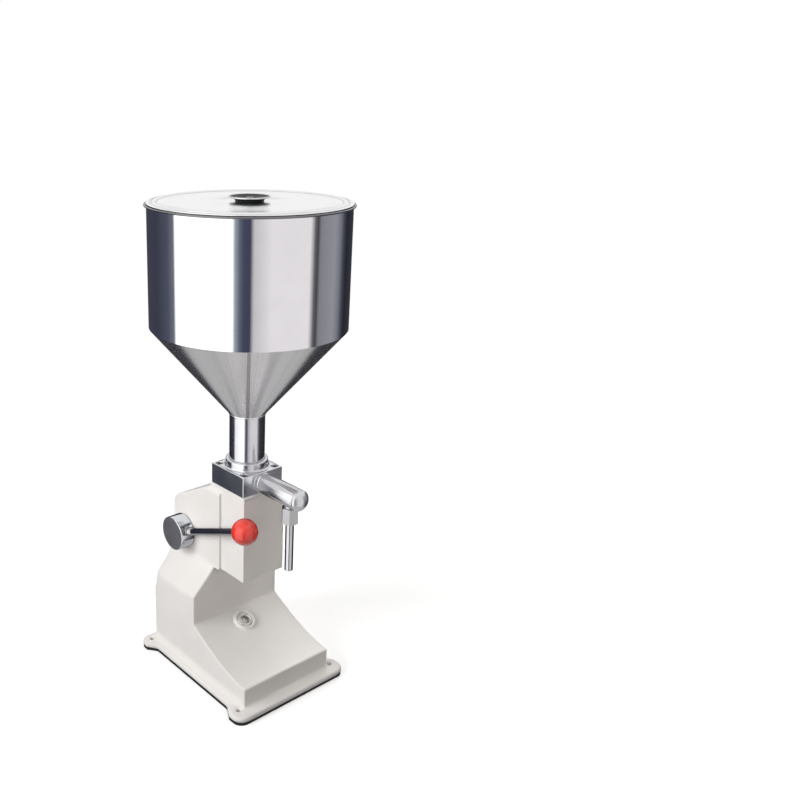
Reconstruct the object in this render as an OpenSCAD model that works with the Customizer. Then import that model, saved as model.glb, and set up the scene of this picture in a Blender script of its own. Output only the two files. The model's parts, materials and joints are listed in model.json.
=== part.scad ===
// Hand-operated piston filler: a steel hopper feeds a valve block on a cast body, and a side
// lever works the piston that draws the product in and pushes it out through the nozzle.
// Millimetres. +Z is up, -Y is the front, and the lever is on the -X side.
// The origin is where the hopper's axis meets the surface that the machine stands on.

/* [Hopper] */
// Outer diameter over the rolled rim
rim_d = 280; // [276:1:284]
// Top of the rolled rim
rim_z = 703; // [690:1:715]
// Foot of the straight wall
wall_foot_z = 537; // [530:1:545]
// Foot of the cone, where the neck pipe starts
cone_foot_z = 409; // [400:1:420]
// Outer diameter of the neck pipe
neck_d = 50.8; // [50:0.2:51]
// Thickness of the hopper's sheet
sheet_t = 1.5; // [1.2:0.1:1.6]

/* [Valve block] */
// Width of the square block
block_w = 72; // [71:1:74]
// Underside of the block
block_z = 300; // [300:1:300]
// Height of the block
block_h = 30; // [30:1:31]
// Diameter of the collar on the block
collar_d = 61; // [60:1:64]

/* [Body] */
// Width of the wide lower column
column_w = 160; // [156:1:164]
// Width of the narrow upper body
upper_w = 84; // [82:1:86]
// Width of the head under the block
head_w = 75; // [74:1:76]
// Front face of the head
head_y = -40; // [-41:1:-39]
// Underside of the head
head_z = 168; // [166:1:168]
// Front face of the column
step_y = 23; // [22:1:24]
// Front face of the low front wall
front_y = -97; // [-99:1:-96]
// Back face of the body
back_y = 125; // [125:1:125]
// Height of the body's top behind the head
top_z = 293; // [292:1:294]
// Fall of the sloping top, in degrees
top_fall = 27.5; // [26:0.5:29]
// Thickness of the casting's walls
cast_t = 6; // [5:0.5:6]
// Thickness of the casting's foot flange
flange_t = 9; // [8:1:10]
// Thickness of the rubber sole
sole_t = 3; // [2:0.5:3]

/* [Pump] */
// Bore of the cylinder barrel
bore_d = 40; // [38:1:40]
// Full stroke of the piston
stroke = 40; // [36:1:40]

/* [Lever] */
// Shaft's distance behind the piston's axis
shaft_y = 96; // [96:1:97]
// Height of the shaft
shaft_z = 201; // [201:1:202]
// Diameter of the shaft
shaft_d = 20; // [18:1:20]
// Diameter of the chrome hub
hub_d = 52; // [50:1:54]
// Length of the chrome hub
hub_l = 23; // [22:1:24]
// Distance from the shaft to the ball's centre
lever_l = 173.5; // [170:0.5:176]
// Angle of the lever above level, at mid stroke
lever_angle = 22.2; // [20:0.2:24]
// Diameter of the ball grip
ball_d = 37; // [35:1:37]

/* [Discharge] */
// Outer diameter of the discharge tube
tube_d = 30; // [29:1:31]
// Front end of the discharge tube
tube_front_y = -111; // [-112:1:-110]
// Distance of the nozzle in front of the piston's axis
nozzle_y = -94; // [-95:1:-93]
// Lower end of the nozzle
nozzle_tip_z = 203; // [195:1:210]
// Outer diameter of the nozzle
nozzle_d = 12; // [11:0.5:12]

/* [Mounting] */
// Distance between the foot holes from left to right
foot_x = 176; // [174:1:178]
// Foot holes' distance in front of the piston's axis
foot_front_y = -94; // [-95:1:-93]
// Foot holes' distance behind the piston's axis
foot_back_y = 124; // [123:1:125]
// Diameter of the foot holes
foot_hole_d = 7; // [6:0.5:8]

/* [Hidden] */
$fn = 64;

CAST = [0.90, 0.89, 0.86];
STEEL = [0.80, 0.81, 0.83];
DARK_STEEL = [0.45, 0.46, 0.48];
BRONZE = [0.72, 0.55, 0.30];
RUBBER = [0.06, 0.06, 0.06];
SEAL_WHITE = [0.92, 0.92, 0.90];
GRIP_RED = [0.85, 0.12, 0.08];

slip = 0.05;             // radial clearance of a running fit
fit = 0.02;              // radial clearance of a close fit that doesn't turn
gap = 0.3;               // clearance between bodies that pass each other

flange_z = sole_t + flange_t;
wall_top_z = flange_z + 30;
slope_top_z = flange_z + 72.5;
slope_curve = 1.65;      // exponent that makes the slope hollow
shoulder_z = 130;        // foot of the shoulder, where the column starts to narrow
shoulder_r = 14;         // radius that blends the shoulder into the upper body
nose_y = 11;             // front of the upper body, on both sides of the head
neck_y = 39;             // where the top starts to fall
crown_r = 22;            // radius of the body's top back edge
head_roof_z = block_z - 20;
head_floor_z = head_z + 3.5;

flange_x = 92;           // half width of the flange between its ears
flange_front_y = -115;
flange_back_y = 137;
ear_x = 103;             // half width over the ears
ear_front_r = 16;
ear_back_r = 15;
flare_r = 12;            // hollow between wall and flange

rim_r = 2.7;             // radius of the rolled rim's section
wall_r = rim_d / 2 - 3.7;
neck_r = neck_d / 2;
collar_h = 12;
block_top = block_z + block_h;
throat_r = 9;
chamber_r = 17;
throat_z = block_top - 6;
inlet_r = 11;            // radius of the inlet ball
inlet_z = 314.5;         // inlet ball's centre when it lies on its cage
screw_pitch = 56;        // spacing of the block screws
spigot_r = 16;           // radius of the collar's spigot in the block

shaft_r = shaft_d / 2;
bush_r = 14;             // outer radius of the shaft's bushes
bearing_r = 18;          // radius of the bosses that hold the bushes
bearing_x = 30.5;        // inner end of the bearings
pin_r = 3;               // radius of the arm pin
yoke_z = 205;            // height of the arm pin at mid stroke
roller_r = 7;
slot_half = roller_r + gap;
yoke_half = slot_half + 3.9;
barrel_r = bore_d / 2 + 4;
barrel_foot_z = 237.5;
rod_foot_z = yoke_z + yoke_half + 0.5;
piston_h = 20;
piston_top_z = block_z - 1.5 - stroke / 2;
arm_t = 12;
tail_z = 158;

hub_x = -upper_w / 2 - 1;
rod_x = -56;
rod_r = 5;

tube_z = block_z + block_h / 2;
tube_back_y = -block_w / 2;
seat_y = tube_back_y - 10;
outlet_r = 7;
outlet_y = seat_y - 4.95;
cap_spigot = 6;
tube_spigot_r = 11;
nozzle_r = nozzle_d / 2;
nozzle_spigot_r = 9;     // radius of the spigot that the nozzle's nut holds
nut_z = block_z - 24;    // underside of the nozzle's nut
nozzle_head_z = nut_z + 10;

plug_tilt = 27;          // lean of the plug's boss, square to the slope
plug_at = [0, 1.6, 72.6];
plug_r = 12;
boss_r = 17;             // radius of the plug's boss
boss_h = 4.5;            // how far the boss stands out of the slope

stop_z = 163;            // height of the stroke stop
stop_r = 4;
stop_nose_y = 110.8;
stop_bush_r = 10;

// ---- outlines ----

function arc(cx, cy, r, a0, a1, n) =
    [for (i = [0:n]) let (a = a0 + (a1 - a0) * i / n) [cx + r * cos(a), cy + r * sin(a)]];

function slope_z(y) =
    wall_top_z + (slope_top_z - wall_top_z) * pow((y - front_y) / (step_y - front_y), slope_curve);

function slope_line(y0, y1, drop, n) =
    [for (i = [0:n]) let (y = y0 + (y1 - y0) * i / n) [y, slope_z(y) - drop]];

// The falling top and its rounded back edge, inset by t from the outside.
crown_z = top_z - (back_y - neck_y) * tan(top_fall) - crown_r * tan((90 - top_fall) / 2);
function crown(t) = arc(back_y - crown_r, crown_z, crown_r - t, 90 - top_fall, 0, 10);

// Side view of the casting, as [y, z].
function side_outline() = concat(
    [[front_y, sole_t]],
    slope_line(front_y, step_y, 0, 16),
    [[step_y, head_z], [nose_y, head_z], [nose_y, top_z], [neck_y, top_z]],
    crown(0),
    [[back_y, sole_t]]
);

// Side view of the hollow inside it.
function side_hollow() = concat(
    [[front_y + cast_t, -1]],
    slope_line(front_y + cast_t, step_y, cast_t * 1.1, 16),
    [[step_y + cast_t, slope_top_z - cast_t], [step_y + cast_t, head_roof_z], [neck_y + 12, head_roof_z]],
    crown(cast_t),
    [[back_y - cast_t, -1]]
);

// Right half of the front view, as [x, z]: column, 45 degree shoulder, blend, upper body.
blend_z = shoulder_z + (column_w - upper_w) / 2 + shoulder_r * tan(22.5);
function front_half(t, z0) = concat(
    [[column_w / 2 - t, z0], [column_w / 2 - t, shoulder_z - t * tan(22.5)]],
    arc(upper_w / 2 + shoulder_r, blend_z, shoulder_r + t, 225, 180, 6)
);
function mirrored(half) = [for (i = [len(half) - 1:-1:0]) [-half[i][0], half[i][1]]];
function front_outline() = let (half = concat(
    front_half(0, sole_t),
    arc(upper_w / 2 - 6, top_z - 6, 6, 0, 90, 6)
)) concat(half, mirrored(half));
function front_hollow() = let (half = concat(
    front_half(cast_t, -1),
    [[upper_w / 2 - cast_t, top_z]]
)) concat(half, mirrored(half));

// Plan of the foot flange, inset by t.
function flange_outline(t) = let (half = concat(
    arc(ear_x - ear_front_r, flange_front_y + ear_front_r, ear_front_r - t, -90, 0, 8),
    [[ear_x - t, -90], [flange_x - t, -72]],
    [[flange_x - t, 104], [ear_x - t, 118]],
    arc(ear_x - ear_back_r, foot_back_y, ear_back_r - t, 0, 90, 8),
    [[78, flange_back_y - t]]
)) concat(half, mirrored(half));

// ---- helpers ----

module along_x(length) rotate([90, 0, 90]) linear_extrude(length, center = true) children();
module along_y(length) rotate([90, 0, 0]) linear_extrude(length, center = true) children();

// A cylinder from x0 to x1 at [y, z].
module x_rod(x0, x1, r, y = shaft_y, z = shaft_z)
    translate([x0, y, z]) rotate([0, 90, 0]) cylinder(h = x1 - x0, r = r);

// A cylinder from y0 to y1 at height z on the centre plane.
module y_rod(y0, y1, r, z) translate([0, y0, z]) rotate([-90, 0, 0]) cylinder(h = y1 - y0, r = r);

module z_rod(z0, z1, r) translate([0, 0, z0]) cylinder(h = z1 - z0, r = r);

module ring(z0, z1, r_in, r_out) difference() {
    z_rod(z0, z1, r_out);
    z_rod(z0 - 1, z1 + 1, r_in);
}

// Places its children on the lever: +Z runs out along the rod from the shaft's axis.
module on_lever() translate([rod_x, shaft_y, shaft_z]) rotate([90 - lever_angle, 0, 0]) children();

// A socket set screw, its socket facing +Z at height z1.
module set_screw(z0, z1, r) difference() {
    z_rod(z0, z1, r);
    translate([0, 0, z1 - 2.5]) cylinder(h = 3, r = r * 0.55, $fn = 6);
}

module at_feet() for (x = [-foot_x / 2, foot_x / 2], y = [foot_front_y, foot_back_y])
    translate([x, y, 0]) children();

module at_block_screws() for (x = [-0.5, 0.5], y = [-0.5, 0.5])
    translate([x * screw_pitch, y * screw_pitch, 0]) children();

module on_slope() translate(plug_at) rotate([plug_tilt, 0, 0]) children();

// ---- casting ----

// Hollow section that eases a wall standing at x = 0 into the flange.
module flare_section() polygon(concat([[-1, flange_z - 1], [flare_r, flange_z - 1]],
    arc(flare_r, flange_z + flare_r, flare_r, 270, 180, 8), [[-1, flange_z + flare_r]]));

module flares() {
    for (side = [-1, 1]) {
        intersection() {
            on_side(side) translate([column_w / 2, 15, 0]) along_y(2 * (back_y - 15)) flare_section();
            on_side(side) linear_extrude(60) polygon([
                [70, -92], [column_w / 2, -92], [flange_x + 1, -66], [flange_x + 1, back_y], [70, back_y]
            ]);
        }
        translate([side * column_w / 2, back_y, 0]) rotate_extrude() polygon(concat(
            [[0, flange_z - 1], [flare_r, flange_z - 1]],
            arc(flare_r, flange_z + flare_r, flare_r, 270, 180, 8)));
    }
    translate([0, back_y, 0]) along_x(column_w) flare_section();
}

module on_side(side) if (side > 0) children(); else mirror([1, 0, 0]) children();

module housing_solid() {
    intersection() {
        along_x(column_w) polygon(side_outline());
        along_y(400) polygon(front_outline());
    }
    translate([-head_w / 2, head_y, head_z]) cube([head_w, block_w / 2 - head_y, block_z - head_z]);
    along_x(head_w) polygon([[30, top_z - 4], [block_w / 2, block_z], [neck_y, top_z], [neck_y, top_z - 4]]);
    translate([0, 0, sole_t]) linear_extrude(flange_t) polygon(flange_outline(0));
    flares();
    on_slope() z_rod(-10, boss_h, boss_r);
}

module housing_hollow() {
    intersection() {
        along_x(column_w) polygon(side_hollow());
        along_y(400) polygon(front_hollow());
    }
    translate([-head_w / 2 + cast_t, head_y + cast_t, head_floor_z])
        cube([head_w - 2 * cast_t, step_y + 12 - head_y, head_roof_z - head_floor_z]);
}

module housing() color(CAST) difference() {
    union() {
        difference() {
            housing_solid();
            housing_hollow();
        }
        for (x = [-upper_w / 2 + 1, bearing_x]) x_rod(x, x + upper_w / 2 - bearing_x - 1, bearing_r);
        on_slope() z_rod(-14, -4, boss_r);
    }
    x_rod(-60, 60, bush_r);
    y_rod(back_y - 25, back_y + 15, stop_bush_r, stop_z);
    on_slope() z_rod(-20, 10, plug_r);
    z_rod(head_roof_z - 5, block_z + 5, barrel_r + 0.1);
    z_rod(block_z - 4, block_z + 5, barrel_r + 4.1);
    at_block_screws() z_rod(block_z - 16, block_z + 1, 3);
    at_feet() z_rod(0, 30, foot_hole_d / 2);
}

module sole_pad() color(RUBBER) difference() {
    linear_extrude(sole_t) polygon(flange_outline(1));
    at_feet() z_rod(-1, 5, foot_hole_d / 2);
}

module rest_plug() color(DARK_STEEL) on_slope() difference() {
    union() {
        z_rod(-12, 2, plug_r - slip);
        translate([0, 0, 2]) cylinder(h = 1.2, r1 = plug_r - slip, r2 = plug_r - 1);
    }
    translate([0, 0, -5]) cylinder(h = 10, r = 6.9, $fn = 6);
}

// ---- valve block and hopper ----

module valve_block() color(STEEL) difference() {
    translate([-block_w / 2, -block_w / 2, block_z]) cube([block_w, block_w, block_h]);
    z_rod(block_top - 3, block_top + 1, spigot_r);
    z_rod(throat_z - 1, block_top, throat_r);
    z_rod(block_z - 1, throat_z, chamber_r);
    y_rod(tube_back_y, -chamber_r + 3, 6, tube_z);
    y_rod(tube_back_y - 1, tube_back_y + 10, tube_spigot_r, tube_z);
    at_block_screws() {
        z_rod(block_z - 1, block_top + 1, 3.3);
        z_rod(block_top - 6.5, block_top + 1, 5.5);
    }
}

module block_screws() color(DARK_STEEL) at_block_screws() difference() {
    union() {
        z_rod(block_z - 15, block_top - 6.4, 2.95);
        z_rod(block_top - 6.5, block_top - 0.5, 5);
    }
    translate([0, 0, block_top - 3.5]) cylinder(h = 4, r = 2.9, $fn = 6);
}

module block_seal() color(SEAL_WHITE) ring(block_z - 1, block_z, bore_d / 2 + 1.5, bore_d / 2 + 3.5);

module inlet_cage() color(STEEL) {
    ring(block_z, block_z + 3.45, 14, chamber_r);
    intersection() {
        z_rod(block_z + 0.4, block_z + 3.45, 15);
        union() {
            translate([-20, -2, block_z]) cube([40, 4, 10]);
            translate([-2, -20, block_z]) cube([4, 40, 10]);
        }
    }
}

module inlet_ball() color(STEEL) translate([0, 0, inlet_z]) sphere(inlet_r);

module hopper_bowl() color(STEEL) rotate_extrude() {
    translate([wall_r - sheet_t, wall_foot_z]) square([sheet_t, rim_z - rim_r - wall_foot_z]);
    translate([rim_d / 2 - rim_r, rim_z - rim_r]) circle(rim_r);
}

module hopper_cone() color(STEEL) rotate_extrude() polygon([
    [neck_r - sheet_t, cone_foot_z], [neck_r, cone_foot_z],
    [wall_r, wall_foot_z], [wall_r - sheet_t, wall_foot_z]
]);

module hopper_neck() color(STEEL) ring(block_top + 4.5, cone_foot_z, neck_r - sheet_t, neck_r);

module neck_collar() color(STEEL) rotate_extrude() polygon(concat(
    [[throat_r, block_top - 3], [spigot_r - slip, block_top - 3], [spigot_r - slip, block_top]],
    arc(collar_d / 2 + 3, block_top + 3, 3, 270, 180, 6),
    [[collar_d / 2, block_top + collar_h - 1.5], [collar_d / 2 - 1.5, block_top + collar_h]],
    [[neck_r + slip, block_top + collar_h], [neck_r + slip, block_top + 4], [throat_r, block_top + 4]]
));

module neck_seal() color(SEAL_WHITE) ring(block_top + 4, block_top + 4.5, neck_r - 5, neck_r);

// ---- lid ----

lid_z = rim_z + gap;
lid_r = rim_d / 2 - 3;
lid_t = 1.5;
knob_z = lid_z + lid_t;
knob_h = 7.4;
knob_r = 28.5;

module hopper_lid() color(STEEL) rotate_extrude() {
    polygon([
        [3.2, lid_z], [wall_r - sheet_t - 3.4, lid_z], [wall_r - sheet_t - 3.4, lid_z - 7],
        [wall_r - sheet_t - 1.9, lid_z - 7], [wall_r - sheet_t - 1.9, lid_z], [lid_r, lid_z],
        [lid_r, lid_z + lid_t], [3.2, lid_z + lid_t]
    ]);
    intersection() {
        translate([lid_r - 10, lid_z + lid_t - 0.6]) circle(2.6);
        translate([0, lid_z + 0.5]) square([200, 10]);
    }
}

// A low spool: a hollow flare under the lip and a dish in the top.
function knob_flare(foot_r, rise) =
    [for (i = [0:8]) [knob_r - (knob_r - foot_r) * cos(10 * i), knob_z + 1 + rise * sin(10 * i)]];
function knob_dish(r0, r1, z0, z1) =
    [for (i = [8:-1:0]) [r0 + (r1 - r0) * i / 8, z0 + (z1 - z0) * pow(i / 8, 2)]];

module lid_knob() color(STEEL) rotate_extrude() polygon(concat(
    [[3.2, knob_z], [18.5, knob_z]],
    knob_flare(19.5, 5),
    [[knob_r, knob_z + 6.2], [knob_r, knob_z + knob_h - 0.6], [knob_r - 0.8, knob_z + knob_h]],
    knob_dish(6, knob_r - 2.2, knob_z + 2.4, knob_z + knob_h),
    [[3.2, knob_z + 2.4]]
));

module lid_screw() color(DARK_STEEL) difference() {
    union() {
        z_rod(knob_z + 2.4, knob_z + 5.6, 5);
        z_rod(lid_z - 4.5, knob_z + 2.5, 3);
    }
    translate([0, 0, knob_z + 3.6]) cylinder(h = 3, r = 2.3, $fn = 6);
}

module lid_nut() color(DARK_STEEL) difference() {
    translate([0, 0, lid_z - 4]) cylinder(h = 4, r = 5.8, $fn = 6);
    z_rod(lid_z - 5, lid_z + 1, 3.05);
}

// ---- pump ----

module cylinder_barrel() color(STEEL) difference() {
    union() {
        z_rod(barrel_foot_z, block_z, barrel_r);
        z_rod(block_z - 4, block_z, barrel_r + 4);
    }
    z_rod(barrel_foot_z - 1, block_z + 1, bore_d / 2);
    ring(block_z - 1, block_z + 1, bore_d / 2 + 1.5, bore_d / 2 + 3.5);
}

ring_zs = [piston_top_z - 6, piston_top_z - 17];

module piston() color(STEEL) difference() {
    z_rod(piston_top_z - piston_h, piston_top_z, bore_d / 2 - slip);
    for (z = ring_zs) ring(z, z + 3, bore_d / 2 - 2.5, bore_d / 2 + 1);
    z_rod(0, 400, 5);
    z_rod(piston_top_z - 6, piston_top_z + 1, 9.5);
}

module piston_rings() color(SEAL_WHITE)
    for (z = ring_zs) ring(z, z + 3, bore_d / 2 - 2.45, bore_d / 2 - 0.03);

module piston_rod() color(STEEL) {
    z_rod(rod_foot_z, piston_top_z - piston_h, 6);
    z_rod(piston_top_z - piston_h - 1, piston_top_z - 0.5, 4.95);
}

module piston_nut() color(DARK_STEEL) difference() {
    translate([0, 0, piston_top_z - 6]) cylinder(h = 5, r = 8.6, $fn = 6);
    z_rod(0, 400, 5);
}

module crosshead() color(DARK_STEEL) difference() {
    union() {
        translate([-17, -12, yoke_z - yoke_half]) cube([34, 25, 2 * yoke_half]);
        z_rod(yoke_z, yoke_z + yoke_half + 8, 10);
    }
    translate([-20, -9, yoke_z - slot_half]) cube([40, 30, 2 * slot_half]);
    translate([-arm_t / 2 - 0.5, -9, yoke_z - 20]) cube([arm_t + 1, 30, 20 + yoke_half + 0.5]);
    z_rod(rod_foot_z, 400, 6 + fit);
}

// ---- shaft and crank ----

key_box = [20, 6, 6.5];
module key_space(grow) translate([-key_box[0] / 2 - grow, shaft_y - key_box[1] / 2 - grow, shaft_z + 6.5 - grow])
    cube([key_box[0] + 2 * grow, key_box[1] + 2 * grow, key_box[2] + 2 * grow]);

shaft_x0 = hub_x - hub_l + 4.5;
shaft_x1 = upper_w / 2 + 12;

module main_shaft() color(DARK_STEEL) difference() {
    union() {
        x_rod(shaft_x0, shaft_x1 - 1, shaft_r);
        translate([shaft_x1 - 1, shaft_y, shaft_z]) rotate([0, 90, 0])
            cylinder(h = 1, r1 = shaft_r, r2 = shaft_r - 1);
    }
    key_space(fit);
}

module bush(x0, x1) color(BRONZE) difference() {
    x_rod(x0, x1, bush_r);
    x_rod(x0 - 1, x1 + 1, shaft_r + slip);
}
module bush_left() bush(-upper_w / 2 - 0.5, -bearing_x);
module bush_right() bush(bearing_x, upper_w / 2 + 0.5);

// Side view of the arm: an eye at the pin, a wide root at the shaft and a tail that meets the stop.
module crank_arm() color(DARK_STEEL) difference() {
    union() {
        along_x(arm_t) polygon(concat(
            arc(0, yoke_z, roller_r - 0.2, 90, 270, 12),
            [[shaft_y - 5, shaft_z - 12], [shaft_y - 5, tail_z], [shaft_y + 5, tail_z]],
            [[shaft_y + 5, shaft_z], [shaft_y, shaft_z + 14]]
        ));
        x_rod(-arm_t, arm_t, 18);
    }
    x_rod(-20, 20, shaft_r + fit);
    x_rod(-20, 20, pin_r + fit, 0, yoke_z);
    key_space(2 * fit);
    translate([0, shaft_y, 0]) z_rod(shaft_z, shaft_z + 30, 3 + fit);
}

module crank_key() color(DARK_STEEL) key_space(0);

module crank_set_screw() color(DARK_STEEL)
    translate([0, shaft_y, 0]) set_screw(shaft_z + 13.1, shaft_z + 17.6, 3);

module arm_pin() color(STEEL) x_rod(-17.5, 17.5, pin_r, 0, yoke_z);

module arm_rollers() color(STEEL) for (x = [-14.9, 6.9]) difference() {
    x_rod(x, x + 8, roller_r, 0, yoke_z);
    x_rod(x - 1, x + 9, pin_r + slip, 0, yoke_z);
}

module pin_clips() color(DARK_STEEL) for (x = [-16.3, 15.3]) difference() {
    x_rod(x, x + 1, 5, 0, yoke_z);
    x_rod(x - 1, x + 2, pin_r + fit, 0, yoke_z);
}

module end_collar() color(STEEL) difference() {
    x_rod(upper_w / 2 + 1, upper_w / 2 + 10, 17);
    x_rod(0, 100, shaft_r + fit);
    translate([upper_w / 2 + 5.5, shaft_y, 0]) z_rod(shaft_z, shaft_z + 30, 2.5 + fit);
}

module end_collar_screw() color(DARK_STEEL)
    translate([upper_w / 2 + 5.5, shaft_y, 0]) set_screw(shaft_z + shaft_r + 0.1, shaft_z + 16.5, 2.5);

// ---- lever ----

module handle_hub() color(STEEL) difference() {
    translate([hub_x, shaft_y, shaft_z]) rotate([0, -90, 0]) rotate_extrude() polygon([
        [0, 0], [hub_d / 2 - 0.8, 0], [hub_d / 2, 0.8],
        [hub_d / 2, hub_l - 0.8], [hub_d / 2 - 0.8, hub_l], [0, hub_l]
    ]);
    x_rod(shaft_x0, 0, shaft_r + fit);
    on_lever() z_rod(0, 40, rod_r + fit);
    translate([rod_x, shaft_y, shaft_z]) rotate([-90, 0, 0]) z_rod(0, 40, 3 + fit);
}

module hub_set_screw() color(DARK_STEEL)
    translate([rod_x, shaft_y, shaft_z]) rotate([-90, 0, 0]) set_screw(shaft_r + 0.1, hub_d / 2 - 1, 3);

module handle_rod() color(STEEL) on_lever() z_rod(shaft_r + 0.4, lever_l - 4, rod_r);

module rod_lock_nut() color(STEEL) on_lever() difference() {
    union() {
        translate([0, 0, hub_d / 2 + 0.2]) cylinder(h = 6, r = 8.6, $fn = 6);
        z_rod(hub_d / 2 + 6, hub_d / 2 + 7.5, 7);
    }
    z_rod(0, 60, rod_r + fit);
}

module handle_ball() color(GRIP_RED) on_lever() difference() {
    union() {
        translate([0, 0, lever_l]) sphere(ball_d / 2);
        z_rod(lever_l - ball_d / 2 - 0.5, lever_l - ball_d / 2 + 6, 7.5);
    }
    z_rod(0, lever_l - 4, rod_r + fit);
}

// ---- discharge ----

module tube_body() union() {
    y_rod(tube_front_y, tube_back_y - 7, tube_d / 2, tube_z);
    y_rod(tube_back_y - 8, tube_back_y - 5, tube_d / 2 - 1, tube_z);
    y_rod(tube_back_y - 6, tube_back_y, tube_d / 2, tube_z);
    y_rod(tube_back_y - 1, tube_back_y + 9, tube_spigot_r - fit, tube_z);
    translate([0, nozzle_y, 0]) z_rod(block_z - 10, tube_z - 8, nozzle_spigot_r);
}

module discharge_tube() color(STEEL) difference() {
    tube_body();
    y_rod(seat_y - 1, tube_back_y + 20, 5, tube_z);
    y_rod(tube_front_y - 1, seat_y, 9, tube_z);
    y_rod(tube_front_y - 1, tube_front_y + 2, 11, tube_z);
    translate([0, nozzle_y, 0]) z_rod(block_z - 20, tube_z, 6);
}

module tube_seal() color(SEAL_WHITE) difference() {
    y_rod(tube_back_y + 9, tube_back_y + 10, tube_spigot_r - fit, tube_z);
    y_rod(tube_back_y, tube_back_y + 20, 6, tube_z);
}

module outlet_ball() color(STEEL) translate([0, outlet_y, tube_z]) sphere(outlet_r);

// A coil of round wire, as rings of points joined into one closed skin.
spring_turns = 9;
spring_steps = 14;
spring_sides = 6;
spring_r = 5.2;
spring_wire = 0.6;
spring_y0 = outlet_y - 5.9;
spring_y1 = tube_front_y + cap_spigot + spring_wire + 0.1;
spring_n = spring_turns * spring_steps;
function coil_point(i, j) = let (
    a = 360 * i / spring_steps,
    b = 360 * j / spring_sides,
    r = spring_r + spring_wire * cos(b)
) [r * cos(a), spring_y0 + (spring_y1 - spring_y0) * i / spring_n + spring_wire * sin(b), r * sin(a)];

module outlet_spring() color(DARK_STEEL) translate([0, 0, tube_z]) polyhedron(
    points = [for (i = [0:spring_n], j = [0:spring_sides - 1]) coil_point(i, j)],
    faces = concat(
        [[for (j = [0:spring_sides - 1]) j]],
        [for (i = [0:spring_n - 1], j = [0:spring_sides - 1]) let (k = (j + 1) % spring_sides) [
            i * spring_sides + j, (i + 1) * spring_sides + j,
            (i + 1) * spring_sides + k, i * spring_sides + k
        ]],
        [[for (j = [spring_sides - 1:-1:0]) spring_n * spring_sides + j]]
    )
);

cap_dome = 8.5;          // how far the dome stands out
dome_r = (pow(tube_d / 2, 2) + pow(cap_dome, 2)) / (2 * cap_dome);
dome_half = asin(tube_d / 2 / dome_r);

module end_cap() color(STEEL) translate([0, tube_front_y, tube_z]) rotate([90, 0, 0]) rotate_extrude()
    polygon(concat(
        [[0, -cap_spigot], [8.9, -cap_spigot], [8.9, 0], [tube_d / 2 - 0.4, 0], [tube_d / 2, 0.4]],
        arc(0, 2.5 + cap_dome - dome_r, dome_r, 90 - dome_half, 90, 12)
    ));

module cap_seal() color(RUBBER) difference() {
    y_rod(tube_front_y, tube_front_y + 2, 10.9, tube_z);
    y_rod(tube_front_y - 5, tube_front_y + 5, 9, tube_z);
}

module nozzle_nut() color(STEEL) translate([0, nozzle_y, 0]) difference() {
    intersection() {
        translate([0, 0, nut_z]) cylinder(h = 23, r = 12.6, $fn = 6);
        translate([0, 0, nut_z]) rotate_extrude()
            polygon([[0, 0], [11.2, 0], [12.7, 1.2], [12.7, 21.8], [11.2, 23], [0, 23]]);
    }
    z_rod(nozzle_head_z, block_z, nozzle_spigot_r + fit);
    z_rod(nut_z - 1, block_z, nozzle_r + 1 + slip);
}

module nozzle_tube() color(STEEL) translate([0, nozzle_y, 0]) rotate_extrude() polygon(concat(
    [[nozzle_r - 1.5, nozzle_tip_z]],
    arc(nozzle_r - 1, nozzle_tip_z + 1, 1, -90, 0, 4),
    [[nozzle_r, nut_z], [nozzle_r + 1, nut_z], [nozzle_r + 1, nozzle_head_z], [8.6, nozzle_head_z]],
    [[8.6, nozzle_head_z + 3], [nozzle_r - 1.5, nozzle_head_z + 3]]
));

module nozzle_seal() color(SEAL_WHITE)
    translate([0, nozzle_y, 0]) ring(nozzle_head_z + 3, nozzle_head_z + 4, nozzle_r, 8.6);

// ---- stroke stop ----

module adjust_bush() color(BRONZE) difference() {
    union() {
        y_rod(back_y - 8, back_y, stop_bush_r - slip, stop_z);
        y_rod(back_y, back_y + 2, 13, stop_z);
    }
    y_rod(back_y - 20, back_y + 20, stop_r + slip, stop_z);
}

module adjust_pin() color(STEEL) {
    y_rod(stop_nose_y + 1, back_y + 12, stop_r, stop_z);
    translate([0, stop_nose_y + 1, stop_z]) rotate([90, 0, 0]) cylinder(h = 1, r1 = stop_r, r2 = stop_r - 1);
}

module adjust_knob() color(DARK_STEEL) difference() {
    union() {
        y_rod(back_y + 2 + gap, back_y + 5, 10, stop_z);
        y_rod(back_y + 5, back_y + 14, 17, stop_z);
    }
    y_rod(back_y, back_y + 12 + gap, stop_r + slip, stop_z);
    for (i = [0:23]) translate([0, back_y, stop_z]) rotate([0, 15 * i, 0])
        translate([17.6, 4, 0]) rotate([-90, 0, 0]) cylinder(h = 12, r = 1.2, $fn = 16);
}

housing();
sole_pad();
rest_plug();
valve_block();
block_screws();
block_seal();
inlet_cage();
inlet_ball();
hopper_bowl();
hopper_cone();
hopper_neck();
neck_collar();
neck_seal();
hopper_lid();
lid_knob();
lid_screw();
lid_nut();
cylinder_barrel();
piston();
piston_rings();
piston_rod();
piston_nut();
crosshead();
main_shaft();
bush_left();
bush_right();
crank_arm();
crank_key();
crank_set_screw();
arm_pin();
arm_rollers();
pin_clips();
end_collar();
end_collar_screw();
handle_hub();
hub_set_screw();
handle_rod();
rod_lock_nut();
handle_ball();
discharge_tube();
tube_seal();
outlet_ball();
outlet_spring();
end_cap();
cap_seal();
nozzle_nut();
nozzle_tube();
nozzle_seal();
adjust_bush();
adjust_pin();
adjust_knob();
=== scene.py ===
import json
import math

import bmesh
import bpy
from mathutils import Matrix, Vector


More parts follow.
